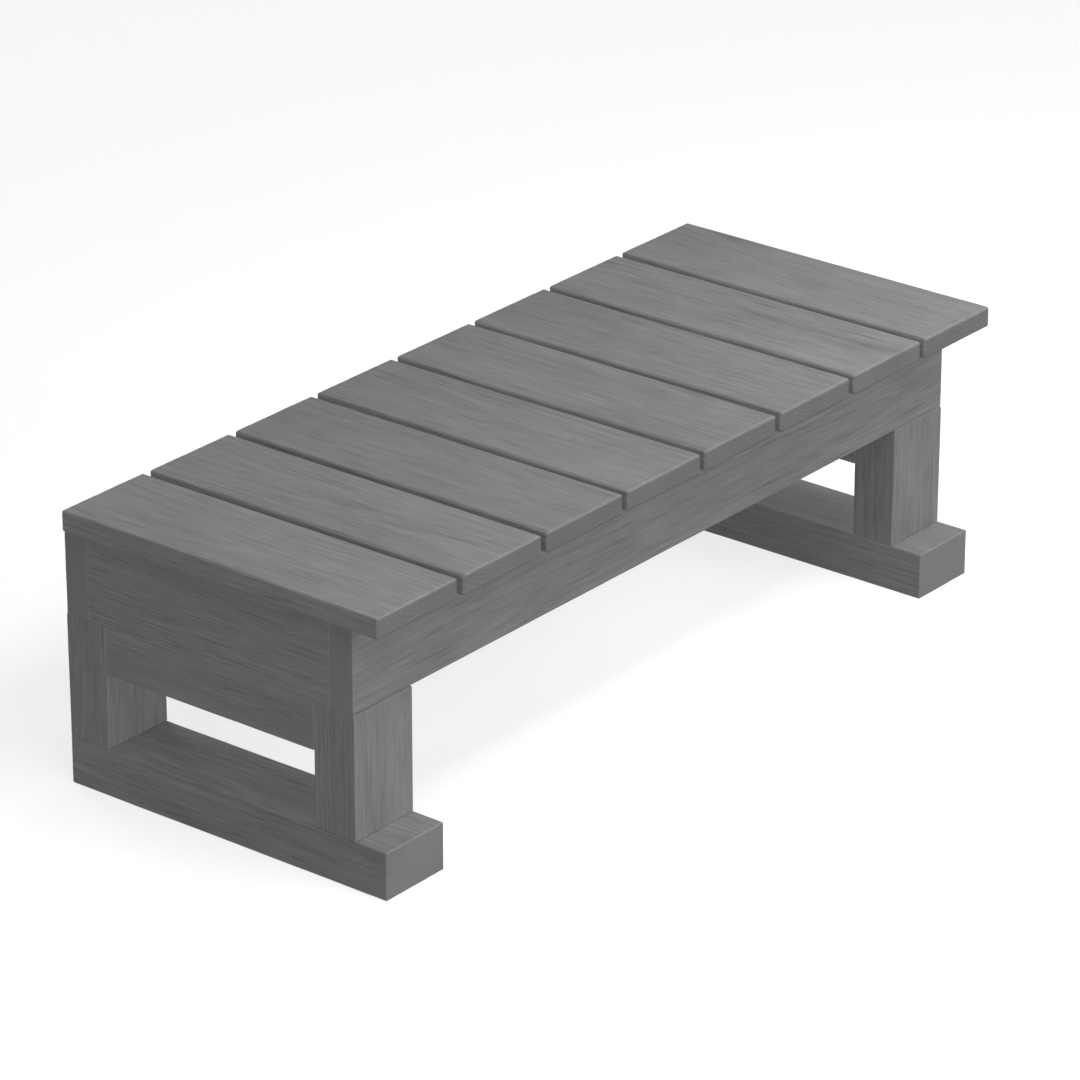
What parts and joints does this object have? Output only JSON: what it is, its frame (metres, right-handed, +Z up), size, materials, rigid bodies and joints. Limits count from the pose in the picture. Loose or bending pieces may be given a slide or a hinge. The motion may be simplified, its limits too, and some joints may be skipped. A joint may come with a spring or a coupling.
{
  "type": "spa step",
  "caption": "Low one-tread wooden step for a spa: slats laid front to back on an apron box, carried by two closed end frames on sled feet that run out in front.",
  "frame": {"origin": "on the ground, in the middle of the step's bounding box", "axes": "+X along the tread, +Y from the front of the step to the spa behind it, +Z up"},
  "size_m": [0.698, 0.29, 0.213],
  "materials": {
    "tread_wood": "neutral grey stain, matt, fine grain showing",
    "frame_wood": "neutral grey stain, matt, fine grain showing",
    "inner_wood": "neutral grey stain, matt, thinner than outside",
    "dowel_wood": "bare hardwood",
    "screw_steel": "stainless, plain"
  },
  "bodies": {
    "root": {"apron_rail_screws": "screw_steel", "back_apron": "frame_wood", "back_cleat": "inner_wood", "cleat_screws": "screw_steel", "corner_block_screws": "screw_steel", "frame_screws": "screw_steel", "front_apron": "frame_wood", "front_cleat": "inner_wood", "left_back_corner_block": "inner_wood", "left_back_leg": "frame_wood", "left_end_apron": "frame_wood", "left_end_cleat": "inner_wood", "left_front_corner_block": "inner_wood", "left_front_leg": "frame_wood", "left_runner": "frame_wood", "left_top_rail": "frame_wood", "rail_dowels": "dowel_wood", "right_back_corner_block": "inner_wood", "right_back_leg": "frame_wood", "right_end_apron": "frame_wood", "right_end_cleat": "inner_wood", "right_front_corner_block": "inner_wood", "right_front_leg": "frame_wood", "right_runner": "frame_wood", "right_top_rail": "frame_wood", "runner_screws": "screw_steel", "slat_1": "tread_wood", "slat_2": "tread_wood", "slat_3": "tread_wood", "slat_4": "tread_wood", "slat_5": "tread_wood", "slat_6": "tread_wood", "slat_7": "tread_wood", "slat_8": "tread_wood", "slat_screws": "screw_steel"}
  },
  "joints": []
}
